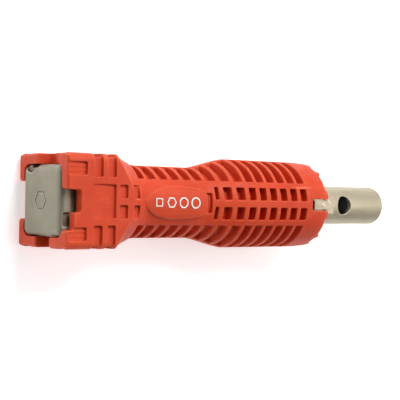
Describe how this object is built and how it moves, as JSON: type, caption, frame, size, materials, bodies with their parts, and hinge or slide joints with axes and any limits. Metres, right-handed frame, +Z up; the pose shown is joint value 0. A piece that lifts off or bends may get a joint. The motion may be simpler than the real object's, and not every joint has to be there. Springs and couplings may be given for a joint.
{
  "type": "faucet wrench",
  "caption": "Hollow faucet and sink installation wrench with a square castellated head, a ribbed handle, a pull-out cube insert and a pull-out tube insert.",
  "frame": {"origin": "on the resting surface, under the middle of the tool's length and width", "axes": "+X along the tool's axis from the square mouth to the tube's free end, +Z up through the front label panel, +Y to the upper side of the head"},
  "size_m": [0.282, 0.0586, 0.0586],
  "materials": {
    "nylon": "satin moulded glass-filled nylon",
    "print": "printed",
    "casting": "grey die casting",
    "champagne": "champagne satin",
    "steel": "polished",
    "brass": "turned",
    "rubber": "matte"
  },
  "bodies": {
    "tool": {"tool_body": "nylon", "front_mark": "print", "back_mark": "print"},
    "cube": {"cube_insert": "casting", "detent_spring_front": "steel", "detent_spring_back": "steel", "detent_plugs": "brass"},
    "ball_front": {"detent_ball_front": "steel"},
    "ball_back": {"detent_ball_back": "steel"},
    "tube": {"tube_insert": "champagne", "drive_key_front": "champagne", "drive_key_back": "champagne", "key_rivets": "champagne", "tube_ring": "rubber"}
  },
  "joints": [
    {"name": "cube_pull", "type": "slide", "parent": "tool", "child": "cube", "axis": [-1, 0, 0], "range_m": [0, 0.06]},
    {"name": "tube_pull", "type": "slide", "parent": "tool", "child": "tube", "axis": [1, 0, 0], "range_m": [0, 0.055]},
    {"name": "ball_front_press", "type": "slide", "parent": "cube", "child": "ball_front", "axis": [0, 0, -1], "range_m": [0, 0.0006], "stiffness_N_per_m": 1500, "springref_m": -0.0004, "deforming": ["detent_spring_front"]},
    {"name": "ball_back_press", "type": "slide", "parent": "cube", "child": "ball_back", "axis": [0, 0, 1], "range_m": [0, 0.0006], "stiffness_N_per_m": 1500, "springref_m": -0.0004, "deforming": ["detent_spring_back"]}
  ]
}
